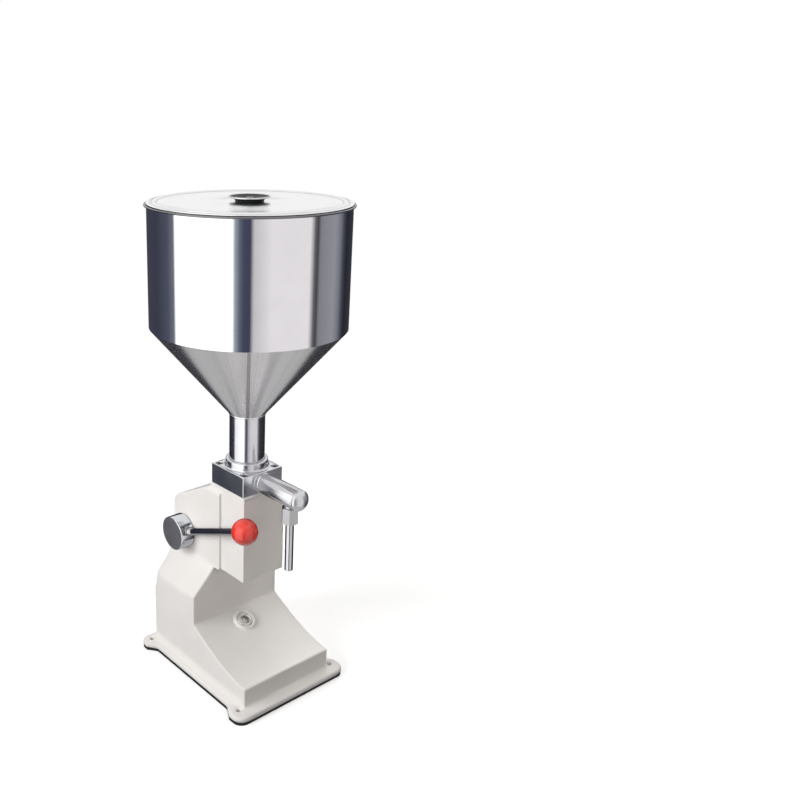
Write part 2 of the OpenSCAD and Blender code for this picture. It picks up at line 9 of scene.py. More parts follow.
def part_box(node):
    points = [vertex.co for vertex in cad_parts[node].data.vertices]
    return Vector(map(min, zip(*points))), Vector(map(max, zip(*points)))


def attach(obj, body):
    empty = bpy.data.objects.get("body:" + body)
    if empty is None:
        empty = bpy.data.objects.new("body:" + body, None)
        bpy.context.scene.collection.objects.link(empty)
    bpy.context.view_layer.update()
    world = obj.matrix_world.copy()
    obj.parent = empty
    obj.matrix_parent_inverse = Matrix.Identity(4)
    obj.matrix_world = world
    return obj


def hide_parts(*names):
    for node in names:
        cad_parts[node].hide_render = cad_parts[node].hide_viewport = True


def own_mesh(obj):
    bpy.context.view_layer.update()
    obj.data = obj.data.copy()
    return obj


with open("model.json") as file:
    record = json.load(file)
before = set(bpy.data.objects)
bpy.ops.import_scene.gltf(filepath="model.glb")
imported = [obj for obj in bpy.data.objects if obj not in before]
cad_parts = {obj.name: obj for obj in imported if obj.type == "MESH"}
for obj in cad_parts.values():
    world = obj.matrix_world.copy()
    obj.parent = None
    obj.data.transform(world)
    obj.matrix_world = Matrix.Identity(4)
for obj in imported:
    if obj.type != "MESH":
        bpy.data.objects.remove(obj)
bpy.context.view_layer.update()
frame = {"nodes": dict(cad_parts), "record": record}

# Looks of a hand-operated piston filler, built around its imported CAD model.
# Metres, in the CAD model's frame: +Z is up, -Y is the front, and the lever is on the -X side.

NODES = frame["nodes"]
RECORD = frame["record"]
SLOT_OF = {part["node"]: part["material_slot"] for part in RECORD["subparts"]}
FOOT_BOLTS = next(mount for mount in RECORD["mounts"] if mount["name"] == "foot_bolts")
MM = 0.001


# ---- sizes that the frame doesn't give ----

JOIN = 0.002 * MM           # points nearer than this are one point
ON_AXIS = 1e-7              # an outline's point nearer to the axis than this lies on it
FINE = 256                  # steps round the hopper and its lid
HEX_STEPS = 72              # steps round a nut or a socket

# casting
VOXEL = 1.25 * MM           # grain of the remesh
# The sole's black line along the foot is also painted shadow for the gap under the base.
SOLE = 3 * MM               # thickness of the rubber sole
FLANGE = 9 * MM             # thickness of the foot's flange
FOOT_CLEAR = 5.5 * MM       # the flange's lip isn't smoothed this near a foot hole's centre
SHOULDER_Z = 130 * MM       # middle of the column's shoulders
SHOULDER_X = 50 * MM        # the shoulders lie outside this
SHOULDER_SOFT = 26 * MM     # how far the soft blend reaches from a shoulder
COLUMN_FRONT = 24 * MM      # the shoulders are softened only behind this

# plug
PLUG_TILT = 27              # lean of the slope's boss, in degrees
PLUG_AT = (0, 1.6 * MM, 72.6 * MM)

# hopper and lid
SHEET = 1.5 * MM            # thickness of the hopper's and the lid's sheet
ROLL = 1.4 * MM             # radius of the rolled rim's section
ROLL_INSET = 0.06 * MM      # the roll stays this far inside the CAD rim
WELD = 1.3 * MM             # radius of the weld bead between cone and neck
SEAM_AT = 231               # angle of the cone's seam about +Z, in degrees
SEAM_HALF = 2.2 * MM        # half of the seam's width
SEAM_RISE = 0.3 * MM        # how far the seam stands proud
LID_GAP = 0.3 * MM          # the lid rests just over the rolled rim
LID_BEAD = 2.6 * MM         # radius of the lid's stiffening bead
LID_HOLE = 3.2 * MM         # radius of the lid screw's hole, in the lid and in its knob
KNOB_DISH = 2.4 * MM        # height of the floor of the knob's dish

# lever
LEVER_ANGLE = 22.2          # degrees above level
LEVER_LENGTH = 173.5 * MM   # from the shaft to the ball's centre
ROD = 5 * MM                # radius of the rod
BALL = 18.5 * MM            # radius of the ball
NUT_HEIGHT = 6.2 * MM       # the lock nut's far face, from the hub

# discharge
TUBE = 15 * MM              # radius of the discharge tube
CAP_RISE = 8.5 * MM         # how far the end cap domes out
NUT_TURN = 47               # degrees about +Z
SPRING_WIRE = 0.6 * MM      # radius of the spring's wire
SPRING_TURNS = 9

# stroke stop
KNURLS = 24                 # grooves round the stop's knob

# The CAD nodes that polished metal mirrors. The casting, the ball and all other nodes are hidden
# from it.
MIRRORED = ("valve_block", "discharge_tube")


# ---- places and sizes from the frame ----

def low(node):
    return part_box(node)[0]


def high(node):
    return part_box(node)[1]


def middle(node):
    return (low(node) + high(node)) / 2


def radius(node):
    """Radius of a node that is round about a vertical or a front-to-back axis."""
    return (high(node).x - low(node).x) / 2


def side_radius(node):
    """Radius of a node that is round about a level axis."""
    return (high(node).z - low(node).z) / 2


def foot_holes():
    """Centres of the four bolt holes in the foot."""
    centre = Vector(FOOT_BOLTS["pos_m"]).xy
    half_x = FOOT_BOLTS["dims"]["spacing_x_mm"] / 2 * MM
    half_y = FOOT_BOLTS["dims"]["spacing_y_mm"] / 2 * MM
    return [centre + Vector((x, y)) for x in (-half_x, half_x) for y in (-half_y, half_y)]


# ---- materials ----

class Paint:
    """A material's node tree, with short calls for the nodes that the finishes here share."""

    def __init__(self, slot, colour, metallic, specular=0.5):
        self.material = bpy.data.materials.new("finish_" + slot)
        self.material.use_nodes = True
        self.tree = self.material.node_tree
        self.shader = self.tree.nodes["Principled BSDF"]
        self.shader.inputs["Base Color"].default_value = (*colour, 1)
        self.shader.inputs["Metallic"].default_value = metallic
        self.shader.inputs["Specular IOR Level"].default_value = specular
        self.colour = colour
        self.coords = self.add("ShaderNodeTexCoord").outputs["Object"]
        self.normal = None

    def add(self, kind, **settings):
        node = self.tree.nodes.new(kind)
        for key, value in settings.items():
            setattr(node, key, value)
        return node

    def link(self, source, target):
        self.tree.links.new(source, target)

    def shaded(self, strength):
        """The base colour, at a share of its strength."""
        return tuple(c * strength for c in self.colour)

    def across(self):
        """The place across the object's own Z axis, without its height."""
        flat = self.add("ShaderNodeVectorMath", operation="MULTIPLY")
        flat.inputs[1].default_value = (1, 1, 0)
        self.link(self.coords, flat.inputs[0])
        return flat.outputs["Vector"]

    def reach(self):
        """Distance from the object's own Z axis."""
        length = self.add("ShaderNodeVectorMath", operation="LENGTH")
        self.link(self.across(), length.inputs[0])
        return length.outputs["Value"]

    def rings(self):
        """Coordinates that make a pattern run in circles about the object's own Z axis."""
        split = self.add("ShaderNodeSeparateXYZ")
        self.link(self.coords, split.inputs[0])
        join = self.add("ShaderNodeCombineXYZ")
        self.link(self.reach(), join.inputs["X"])
        self.link(split.outputs["Z"], join.inputs["Z"])
        return join.outputs[0]

    def spokes(self):
        """Coordinates that make a pattern run straight out from the object's own Z axis."""
        unit = self.add("ShaderNodeVectorMath", operation="NORMALIZE")
        self.link(self.across(), unit.inputs[0])
        return unit.outputs["Vector"]

    def noise(self, scale, detail, stretch=(1, 1, 1), coords=None):
        place = self.add("ShaderNodeMapping")
        place.inputs["Scale"].default_value = stretch
        self.link(coords or self.coords, place.inputs["Vector"])
        noise = self.add("ShaderNodeTexNoise")
        noise.inputs["Scale"].default_value = scale
        noise.inputs["Detail"].default_value = detail
        self.link(place.outputs[0], noise.inputs["Vector"])
        return noise.outputs["Fac"]

    def spread(self, value, to_low, to_high, from_low=0.3, from_high=0.7):
        """Maps the useful middle of a pattern onto another range."""
        ramp = self.add("ShaderNodeMapRange")
        limits = (from_low, from_high, to_low, to_high)
        for socket, limit in zip(("From Min", "From Max", "To Min", "To Max"), limits):
            ramp.inputs[socket].default_value = limit
        self.link(value, ramp.inputs["Value"])
        return ramp.outputs["Result"]

    def maths(self, operation, first, second=None):
        """A Math node. An input is a socket, or a number."""
        node = self.add("ShaderNodeMath", operation=operation)
        for socket, value in zip(node.inputs, (first, second)):
            if isinstance(value, float):
                socket.default_value = value
            elif value is not None:
                self.link(value, socket)
        return node.outputs[0]

    def blend(self, amount, first, second):
        mix = self.add("ShaderNodeMix", data_type="RGBA")
        self.link(amount, mix.inputs["Factor"])
        for socket, colour in ((mix.inputs[6], first), (mix.inputs[7], second)):
            if isinstance(colour, tuple):
                socket.default_value = (*colour, 1)
            else:
                self.link(colour, socket)
        return mix.outputs[2]

    def tint(self, pattern, dark, light):
        """Varies the base colour between two strengths of it, over the middle of a pattern."""
        return self.blend(self.spread(pattern, 0, 1), self.shaded(dark), self.shaded(light))

    def roughness(self, value):
        self.link(value, self.shader.inputs["Roughness"])

    def smear(self, axis, amount):
        """Draws reflections out across lines that run round an axis."""
        self.shader.inputs["Anisotropic"].default_value = amount
        self.shader.inputs["Anisotropic Rotation"].default_value = 0.25
        tangent = self.add("ShaderNodeTangent", direction_type="RADIAL", axis=axis)
        self.link(tangent.outputs[0], self.shader.inputs["Tangent"])

    def bump(self, height, depth, strength=1.0):
        node = self.add("ShaderNodeBump")
        node.inputs["Strength"].default_value = strength
        node.inputs["Distance"].default_value = depth
        self.link(height, node.inputs["Height"])
        if self.normal is not None:
            self.link(self.normal, node.inputs["Normal"])
        self.normal = node.outputs["Normal"]

    def edge(self, width):
        """1 on an edge or corner, 0 away from it."""
        bevel_normal = self.add("ShaderNodeBevel", samples=4)
        bevel_normal.inputs["Radius"].default_value = width
        facing = self.add("ShaderNodeNewGeometry")
        dot = self.add("ShaderNodeVectorMath", operation="DOT_PRODUCT")
        self.link(bevel_normal.outputs[0], dot.inputs[0])
        self.link(facing.outputs["Normal"], dot.inputs[1])
        return self.spread(dot.outputs["Value"], 1.0, 0.0, 0.80, 0.99)

    def done(self, colour):
        self.link(colour, self.shader.inputs["Base Color"])
        if self.normal is not None:
            self.link(self.normal, self.shader.inputs["Normal"])
        return self.material


def enamel(slot, colour):
    """Satin enamel over a fettled iron casting, with fine specks, and darker edges and inner corners: rubbed
    paint on the edges, painted shade in the corners.
    """
    p = Paint(slot, colour, 0.0)
    p.roughness(p.spread(p.noise(55, 4), 0.30, 0.42))
    p.bump(p.noise(34, 2), 0.35 * MM, 0.5)
    p.bump(p.noise(620, 2), 0.05 * MM, 0.55)
    shade = p.tint(p.noise(14, 3), 0.965, 1.02)
    specks = p.spread(p.noise(900, 2), 0, 1, 0.70, 0.78)
    shade = p.blend(specks, shade, p.shaded(0.72))
    # Darker at edges and inner corners: rubbed paint on the edges, painted shade in the corners.
    wear_and_corner_shade = p.spread(p.edge(1.6 * MM), 0, 0.35, 0, 1)
    return p.done(p.blend(wear_and_corner_shade, shade, p.shaded(0.82)))


def steel(slot, colour, rough, line=0.0, stretch=None, wave=0.0, contrast=0.06, smear_axis=None):
    """Bare metal. Turned lines run in circles, or brushed ones along stretch if it is given.
    Line and wave are the depths of the fine lines and of the sheet's slow waves."""
    p = Paint(slot, colour, 1.0)
    if smear_axis:
        p.smear(smear_axis, 1.0)
    if stretch is None:
        lines = p.noise(1400, 2, coords=p.rings())
    else:
        lines = p.noise(1400, 2, stretch)
    cloud = p.noise(28, 4)
    halves = [limit / 2 for limit in rough]
    p.roughness(p.maths("ADD", p.spread(lines, *halves), p.spread(cloud, *halves)))
    if wave:
        p.bump(p.noise(9, 1), wave, 0.6)
    if line:
        p.bump(lines, line, 0.6)
    return p.done(p.tint(cloud, 1 - contrast, 1 + contrast / 2))


def cone_finish(slot, colour, rough):
    """Satin spun sheet, drawn over along the cone's slope so that soft streaks run down it."""
    p = Paint(slot, colour, 1.0)
    p.smear("Z", 0.7)
    wide = p.noise(7, 3, coords=p.spokes())
    fine = p.noise(60, 2, coords=p.spokes())
    p.roughness(p.spread(fine, *rough))
    p.bump(p.noise(1400, 2, coords=p.rings()), 0.002 * MM, 0.5)
    shade = p.tint(wide, 0.86, 1.08)
    return p.done(p.blend(p.spread(fine, 0, 0.4), shade, p.shaded(0.85)))


# Rings of painted shade on the lid, where its shape would catch less light: radius and half width in mm, and
# strength. Two lie in the hollows beside its bead, and two at the steps of its shallow dish.
LID_SHADE_RINGS = ((123.0, 1.5, 0.80), (131.2, 1.3, 0.80), (110.5, 1.2, 0.10), (45.0, 1.0, 0.10))


def lid_finish(slot, colour, rough):
    """Spun sheet with fine circular lines and rings of painted shade."""
    p = Paint(slot, colour, 1.0)
    lines = p.noise(1100, 2, coords=p.rings())
    p.roughness(p.spread(lines, *rough))
    p.bump(lines, 0.007 * MM, 0.6)
    reach = p.reach()
    shade = p.tint(p.noise(28, 4), 0.97, 1.01)
    for ring_r, half, strength in LID_SHADE_RINGS:
        # Each ring darkens the colour: painted shade in a hollow or at a step.
        away = p.maths("ABSOLUTE", p.maths("SUBTRACT", reach, ring_r * MM))
        ring = p.spread(away, strength, 0, 0.2 * half * MM, half * MM)
        shade = p.blend(ring, shade, p.shaded(0.25))
    return p.done(shade)


def gloss(slot, colour, rough, coat):
    """Moulded glossy plastic."""
    p = Paint(slot, colour, 0.0)
    p.shader.inputs["Coat Weight"].default_value = coat
    p.shader.inputs["Coat Roughness"].default_value = 0.22
    p.roughness(p.spread(p.noise(160, 4), *rough))
    p.bump(p.noise(60, 2), 0.02 * MM, 0.12)
    return p.done(p.tint(p.noise(40, 4), 0.98, 1.01))


def moulded(slot, colour, rough):
    """Hard satin plastic with a fine moulded grain."""
    p = Paint(slot, colour, 0.0, 0.25)
    p.roughness(p.spread(p.noise(240, 3), *rough))
    p.bump(p.noise(700, 2), 0.02 * MM, 0.5)
    return p.done(p.tint(p.noise(70, 4), 0.8, 1.2))


def rubber(slot, colour, grain):
    """Matt rubber or seal plastic with a fine grain."""
    p = Paint(slot, colour, 0.0, 0.3)
    p.roughness(p.spread(p.noise(200, 3), 0.62, 0.85))
    p.bump(p.noise(grain, 3), 0.08 * MM, 0.7)
    return p.done(p.tint(p.noise(90, 4), 0.7, 1.3))


def make_finishes():
    """One finish for each material slot of the record, then six for surfaces within a slot."""
    return {
        "cast_paint": enamel("cast_paint", (0.82, 0.795, 0.77)),
        # The sole is rubber, and its black is also painted shadow along the base's foot.
        "sole_rubber": rubber("sole_rubber", (0.012, 0.012, 0.012), 900),
        "black_seal": rubber("black_seal", (0.02, 0.02, 0.02), 1200),
        "white_seal": rubber("white_seal", (0.84, 0.83, 0.80), 1500),
        "plug_steel": steel("plug_steel", (0.50, 0.48, 0.45), (0.12, 0.24), 0.02 * MM),
        "block_steel": steel("block_steel", (0.75, 0.76, 0.78), (0.14, 0.26), 0.012 * MM, (1, 1, 40)),
        "screw_steel": steel("screw_steel", (0.26, 0.26, 0.27), (0.28, 0.46), 0.015 * MM),
        "polished_steel": steel("polished_steel", (0.66, 0.66, 0.68), (0.10, 0.20), 0.006 * MM),
        "ball_steel": steel("ball_steel", (0.70, 0.70, 0.72), (0.04, 0.09)),
        "hopper_mirror": steel("hopper_mirror", (0.80, 0.80, 0.82), (0.02, 0.07), 0.0015 * MM,
                               wave=0.10 * MM, contrast=0.03),
        "cone_satin": cone_finish("cone_satin", (0.79, 0.775, 0.775), (0.20, 0.28)),
        "collar_steel": steel("collar_steel", (0.64, 0.64, 0.66), (0.12, 0.22), 0.008 * MM),
        "lid_steel": lid_finish("lid_steel", (0.82, 0.82, 0.83), (0.12, 0.22)),
        "knob_chrome": steel("knob_chrome", (0.66, 0.66, 0.68), (0.05, 0.12), 0.004 * MM),
        "dark_steel": steel("dark_steel", (0.24, 0.24, 0.25), (0.30, 0.46), 0.02 * MM),
        "bush_bronze": steel("bush_bronze", (0.56, 0.38, 0.17), (0.22, 0.36), 0.015 * MM),
        "hub_chrome": steel("hub_chrome", (0.66, 0.67, 0.69), (0.05, 0.12), 0.003 * MM),
        "rod_chrome": steel("rod_chrome", (0.42, 0.41, 0.41), (0.05, 0.12), 0.002 * MM),
        "tube_steel": steel("tube_steel", (0.60, 0.595, 0.61), (0.13, 0.17), 0.003 * MM,
                            (1, 60, 1), smear_axis="Y"),
        "cap_satin": steel("cap_satin", (0.68, 0.69, 0.70), (0.24, 0.36), 0.012 * MM),
        "grip_red": gloss("grip_red", (0.82, 0.030, 0.010), (0.22, 0.32), 0.8),
        "spout_steel": steel("spout_steel", (0.56, 0.56, 0.58), (0.08, 0.18), 0.006 * MM),
        "nut_steel": steel("nut_steel", (0.42, 0.42, 0.43), (0.10, 0.20), 0.006 * MM),
        # Painted shade: a darker copy of the hub's chrome, for the disc in its outer face.
        "shaded_hub_face": steel("shaded_hub_face", (0.50, 0.50, 0.52), (0.30, 0.40), 0.010 * MM),
        "knob_dark": moulded("knob_dark", (0.018, 0.020, 0.020), (0.34, 0.50)),
        "seam_steel": steel("seam_steel", (0.42, 0.41, 0.40), (0.30, 0.42), 0.010 * MM),
        # Painted shade: the rolled rim is the hopper's own sheet, darkened to draw the shadow line under the
        # lid.
        "rim_painted_shade": steel("rim_painted_shade", (0.20, 0.20, 0.21), (0.20, 0.34), 0.004 * MM),
    }


FINISHES = make_finishes()
for name, obj in NODES.items():
    obj.material_slots[0].material = FINISHES[SLOT_OF[name]]


# ---- building pieces ----

def stand(origin, axis=(0, 0, 1)):
    """A placement at origin whose own +Z runs along axis."""
    turn = Vector(axis).to_track_quat("Z", "Y").to_matrix().to_4x4()
    return Matrix.Translation(origin) @ turn


def add_piece(name, mesh, slot, body, replaced=(), place=None, sharp=30, finish=None):
    """Adds a piece with its slot's finish, or with another finish for a surface within the slot."""
    obj = bpy.data.objects.new(name, mesh)
    bpy.context.scene.collection.objects.link(obj)
    if place is not None:
        obj.matrix_world = place
    mesh.materials.append(FINISHES[finish or slot])
    mesh.shade_smooth()
    mesh.set_sharp_from_angle(angle=math.radians(sharp))
    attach(obj, body)
    if replaced:
        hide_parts(*replaced)
    return obj


def fillet(corners, steps=5):
    """Rounds an outline's corners. Each corner is (r, z) or (r, z, rounding radius)."""
    out = []
    count = len(corners)
    for i, corner in enumerate(corners):
        here = Vector(corner[:2])
        size = corner[2] if len(corner) > 2 else 0
        if not size or i in (0, count - 1) and corners[0][0] == 0:
            out.append(tuple(here))
            continue
        before = Vector(corners[i - 1][:2]) - here
        after = Vector(corners[(i + 1) % count][:2]) - here
        half = before.angle(after) / 2
        back = min(size / math.tan(half), 0.49 * min(before.length, after.length))
        size = back * math.tan(half)
        inward = (before.normalized() + after.normalized()).normalized()
        centre = here + inward * size / math.sin(half)
        start = here + before.normalized() * back - centre
        end = here + after.normalized() * back - centre
        sweep = start.angle_signed(end)
        for k in range(steps + 1):
            turn = Matrix.Rotation(-sweep * k / steps, 2)
            out.append(tuple(centre + turn @ start))
    return out


def arc(cx, cz, r, start, end, steps):
    """Points round a circle, between two angles in degrees."""
    angles = [math.radians(start + (end - start) * i / steps) for i in range(steps + 1)]
    return [(cx + r * math.cos(a), cz + r * math.sin(a)) for a in angles]


def loft(name, rings, closed):
    """A skin through rings of points. A ring of one point closes the skin there."""
    mesh = bpy.data.meshes.new(name)
    bm = bmesh.new()
    rows = [[bm.verts.new(p) for p in ring] for ring in rings]
    pairs = list(zip(rows, rows[1:]))
    if closed:
        pairs.append((rows[-1], rows[0]))
    for a, b in pairs:
        count = max(len(a), len(b))
        for i in range(count):
            j = (i + 1) % count
            corners = [a[i % len(a)], a[j % len(a)], b[j % len(b)], b[i % len(b)]]
            face = list(dict.fromkeys(corners))
            if len(face) > 2:
                bm.faces.new(face)
    bmesh.ops.recalc_face_normals(bm, faces=bm.faces)
    bm.to_mesh(mesh)
    bm.free()
    return mesh


def lathe(name, outline, steps=128):
    """Turns an (r, z) outline about Z. An outline that starts and ends on the axis is closed there."""
    rings = []
    for r, z in outline:
        if r < ON_AXIS:
            rings.append([(0, 0, z)])
        else:
            rings.append(rim(r, z, steps))
    return loft(name, rings, len(rings[0]) > 1)


def rim(reach, z, steps=HEX_STEPS):
    """A ring of points at height z. reach is one radius, or one for each step round."""
    if not isinstance(reach, list):
        reach = [reach] * steps
    angles = [2 * math.pi * i / len(reach) for i in range(len(reach))]
    return [(r * math.cos(a), r * math.sin(a), z) for r, a in zip(reach, angles)]


def hexagon(corner, turn=0.0):
    """Distance from the centre to a hexagon's edge, at equal steps round it."""
    reach = []
    for i in range(HEX_STEPS):
        a = 2 * math.pi * i / HEX_STEPS
        beside = (a - turn) % (math.pi / 3) - math.pi / 6
        reach.append(corner * math.cos(math.pi / 6) / math.cos(beside))
    return reach


def chamfered(corner, z_edge, inward, turn):
    """Two rings that end a hexagon bar: the turned chamfer's curve on its flats, then its circle."""
    bar = hexagon(corner, turn)
    circle = corner * 0.86
    drop = [max(r - circle, 0) * math.tan(math.radians(30)) for r in bar]
    edge = [(x, y, z_edge + inward * d) for (x, y, _), d in zip(rim(bar, 0), drop)]
    return [edge, rim(circle, z_edge)]


def nut(name, corner, bore, z0, z1, turn):
    """A hexagon nut, chamfered at both ends, with a bore that has small countersinks."""
    sink = 0.6 * MM
    foot = chamfered(corner, z0, 1, math.radians(turn))
    head = chamfered(corner, z1, -1, math.radians(turn))
    outside = [foot[1], foot[0], head[0], head[1]]
    hole = [rim(bore + sink, z1), rim(bore, z1 - sink), rim(bore, z0 + sink), rim(bore + sink, z0)]
    return loft(name, outside + hole, True)


def socket_head(name, outline, socket, z_mouth, depth):
    """A turned head whose outline ends at the mouth of a hexagon socket."""
    lead = 0.3 * MM
    rings = [[(0, 0, outline[0][1])]] + [rim(r, z) for r, z in outline[1:]]
    rings.append(rim([r + lead for r in hexagon(socket)], z_mouth))
    rings.append(rim(hexagon(socket), z_mouth - lead))
    rings.append(rim(hexagon(socket), z_mouth - depth))
    rings.append([(0, 0, z_mouth - depth - socket * 0.35)])
    return loft(name, rings, False)


def soften(node, width, steps=2):
    """Breaks the edges of a machined CAD node, which keeps its own mesh."""
    obj = NODES[node]
    weld = obj.modifiers.new("weld", "WELD")
    weld.merge_threshold = JOIN
    bevel = obj.modifiers.new("edges", "BEVEL")
    bevel.width = width
    bevel.segments = steps
    bevel.limit_method = "ANGLE"
    bevel.angle_limit = math.radians(40)
    bevel.use_clamp_overlap = False
    bevel.harden_normals = True


# ---- casting ----

def settle(obj, *modifiers):
    """Runs modifiers on an object and keeps the mesh that they make."""
    for kind, settings in modifiers:
        modifier = obj.modifiers.new(kind, kind)
        for key, value in settings.items():
            setattr(modifier, key, value)
    graph = bpy.context.evaluated_depsgraph_get()
    mesh = bpy.data.meshes.new_from_object(obj.evaluated_get(graph), depsgraph=graph)
    obj.modifiers.clear()
    obj.data = mesh
    return mesh


def mark_soft_places(obj):
    """Names the points that are smoothed further: the flange's lip, and the shoulders' creases."""
    lip = obj.vertex_groups.new(name="lip")
    crease = obj.vertex_groups.new(name="crease")
    feet = foot_holes()
    flange_top = SOLE + FLANGE + 0.2 * MM
    for v in obj.data.vertices:
        if v.co.z < flange_top:
            if min((v.co.xy - foot).length for foot in feet) > FOOT_CLEAR:
                lip.add([v.index], 1.0, "REPLACE")
        elif abs(v.co.z - SHOULDER_Z) < SHOULDER_SOFT and abs(v.co.x) > SHOULDER_X:
            fade = min(1, max(0, (v.co.y - COLUMN_FRONT) / SHOULDER_SOFT))
            fade *= min(1, 2 - 2 * abs(v.co.z - SHOULDER_Z) / SHOULDER_SOFT)
            crease.add([v.index], fade, "REPLACE")


def make_casting():
    """The cast body, with every edge and inner corner softened as a sand casting's are."""
    mesh = NODES["housing"].data.copy()
    mesh.materials.clear()
    obj = bpy.data.objects.new("cast_body", mesh)
    bpy.context.scene.collection.objects.link(obj)
    settle(
        obj,
        ("WELD", {"merge_threshold": JOIN}),
        ("REMESH", {"mode": "VOXEL", "voxel_size": VOXEL, "adaptivity": 0.0}),
        ("SMOOTH", {"factor": 0.5, "iterations": 9}),
    )
    mark_soft_places(obj)
    mesh = settle(
        obj,
        ("SMOOTH", {"factor": 0.5, "iterations": 45, "vertex_group": "lip"}),
        ("SMOOTH", {"factor": 0.5, "iterations": 260, "vertex_group": "crease"}),
        ("DECIMATE", {"decimate_type": "COLLAPSE", "ratio": 0.14}),
        ("WEIGHTED_NORMAL", {"keep_sharp": False, "weight": 90}),
    )
    obj.vertex_groups.clear()
    mesh.materials.append(FINISHES["cast_paint"])
    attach(obj, "machine")
    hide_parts("housing")
    obj.visible_glossy = False
    for name, node in NODES.items():
        if name not in MIRRORED:
            node.visible_glossy = False


def make_plug():
    """The socket plug in its raised boss on the slope."""
    lean = math.radians(PLUG_TILT)
    axis = Vector((0, -math.sin(lean), math.cos(lean)))
    r = 11.9 * MM
    top = 3.2 * MM
    foot = -12 * MM
    lead = 1.5 * MM
    dish_r = 9 * MM
    dish = top - 0.8 * MM
    turned = [(0, foot), (r - lead, foot), (r, foot + lead), (r, top - 1.4 * MM)]
    turned += [(r - 0.3 * MM, top - 0.6 * MM), (r - 0.9 * MM, top)]
    turned += [(dish_r + 0.6 * MM, top), (dish_r, dish)]
    mesh = socket_head("socket_plug", turned, 7.6 * MM, dish, 7 * MM)
    add_piece("socket_plug", mesh, "plug_steel", "machine", ["rest_plug"], stand(PLUG_AT, axis))


# ---- hopper ----

def make_hopper():
    """The hopper's wall, rolled rim, cone and neck, and the weld between cone and neck."""
    wall = radius("hopper_cone")
    inner = wall - SHEET
    neck = radius("hopper_neck")
    foot = low("hopper_bowl").z
    top = high("hopper_bowl").z
    seat = top - 2 * ROLL
    bowl = [(wall, foot), (wall, seat), (inner, seat), (inner, foot)]
    add_piece("bowl_shell", lathe("bowl_shell", bowl, FINE), "hopper_mirror", "machine", ["hopper_bowl"])
    roll = [(wall, seat)]
    roll += arc(radius("hopper_bowl") - ROLL_INSET - ROLL, top - ROLL, ROLL, -100, 160, 22)
    roll += [(inner, top - ROLL), (inner, seat)]
    # The roll wears the painted shade finish, which makes a dark line below the lid.
    add_piece("rim_roll", lathe("rim_roll", roll, FINE), "hopper_mirror", "machine", finish="rim_painted_shade")

    cone_foot = low("hopper_cone").z
    cone = [(neck, cone_foot), (wall, foot), (inner, foot), (neck - SHEET, cone_foot)]
    add_piece("cone_shell", lathe("cone_shell", cone, FINE), "cone_satin", "machine", ["hopper_cone"])
    weld = arc(neck - 0.2 * MM, cone_foot, WELD, 0, 330, 11)
    add_piece("cone_weld", lathe("cone_weld", weld, 192), "cone_satin", "machine")

    pipe_foot = low("hopper_neck").z
    pipe = [(neck, pipe_foot), (neck, cone_foot), (neck - SHEET, cone_foot), (neck - SHEET, pipe_foot)]
    add_piece("neck_pipe", lathe("neck_pipe", pipe), "hopper_mirror", "machine", ["hopper_neck"],
              finish="polished_steel")


def make_cone_seam():
    """The ground weld bead that closes the cone's sheet, on the side towards the lever and front."""
    turn = math.radians(SEAM_AT)
    out = Vector((math.cos(turn), math.sin(turn), 0))
    across = Vector((-math.sin(turn), math.cos(turn), 0))
    start = out * radius("hopper_neck") + Vector((0, 0, low("hopper_cone").z))
    end = out * radius("hopper_cone") + Vector((0, 0, high("hopper_cone").z))
    proud = across.cross((end - start).normalized())
    if proud.dot(out) < 0:
        proud.negate()
    spots = 24
    sides = 12
    rings = []
    for i in range(spots + 1):
        spot = start.lerp(end, 0.01 + 0.98 * i / spots)
        angles = [2 * math.pi * k / sides for k in range(sides)]
        rings.append([spot + across * SEAM_HALF * math.cos(a) + proud * SEAM_RISE * math.sin(a)
                      for a in angles])
    tips = [[ring[0].lerp(ring[sides // 2], 0.5)] for ring in (rings[0], rings[-1])]
    mesh = loft("cone_seam", tips[:1] + rings + tips[1:], False)
    add_piece("cone_seam", mesh, "cone_satin", "machine", sharp=60, finish="seam_steel")


def make_collar():
    """The turned collar that carries the neck, with a fillet at its foot and a rounded top."""
    base = high("valve_block").z
    foot = low("neck_collar").z
    top = high("neck_collar").z
    foot_r = radius("neck_collar")
    fillet_r = 3 * MM
    collar_r = foot_r - fillet_r
    spigot = 15.95 * MM
    throat = 9 * MM
    neck = radius("hopper_neck")
    bore = neck + 0.05 * MM
    step = 0.6 * MM
    outline = [(throat, foot), (spigot, foot), (spigot, base), (foot_r, base), (foot_r, base + step)]
    outline += arc(foot_r, base + step + fillet_r, fillet_r, 270, 180, 8)[1:]
    outline += fillet([(collar_r, top - 4 * MM), (collar_r, top, 1.6 * MM), (neck + 1 * MM, top)])[1:]
    outline += [(bore, top - 1 * MM), (bore, base + 4 * MM), (throat, base + 4 * MM)]
    add_piece("collar", lathe("collar", outline, 160), "collar_steel", "machine", ["neck_collar"])


# ---- lid ----

